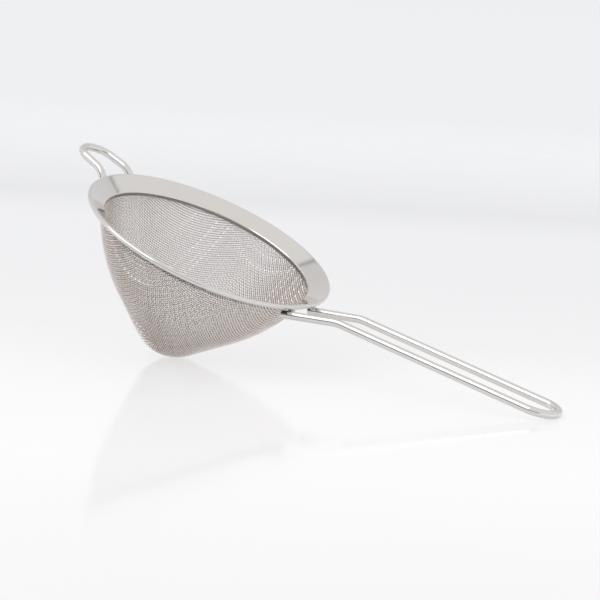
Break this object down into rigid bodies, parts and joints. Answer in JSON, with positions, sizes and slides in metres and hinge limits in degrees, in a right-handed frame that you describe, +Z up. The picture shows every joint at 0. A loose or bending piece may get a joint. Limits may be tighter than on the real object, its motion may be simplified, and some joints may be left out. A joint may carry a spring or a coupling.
{
  "type": "tea strainer",
  "caption": "Conical fine-mesh steel tea strainer with a wide sloping rim, a long wire loop handle and a small wire rest hook, lying on its basket and handle.",
  "frame": {"origin": "on the table, under the middle of the strainer's bounding box, as it lies at rest on the tip of its basket and the end of its handle", "axes": "+X along the handle, away from the basket; +Z straight up from the table; the XZ plane is the plane of mirror symmetry. The rim is tilted 24.8 degrees about +Y, handle side down"},
  "size_m": [0.2026, 0.094, 0.075],
  "materials": {
    "polished_steel": "mirror-polished stainless steel",
    "woven_steel": "plain-woven stainless steel wire cloth, satin",
    "weld_steel": "resistance-welded stainless steel, matt"
  },
  "bodies": {
    "root": {"rim_ring": "polished_steel", "mesh_basket": "woven_steel", "handle_wire": "polished_steel", "rest_hook": "polished_steel", "weld_bead_handle_left": "weld_steel", "weld_bead_handle_right": "weld_steel", "weld_bead_hook_left": "weld_steel", "weld_bead_hook_right": "weld_steel"}
  },
  "joints": []
}
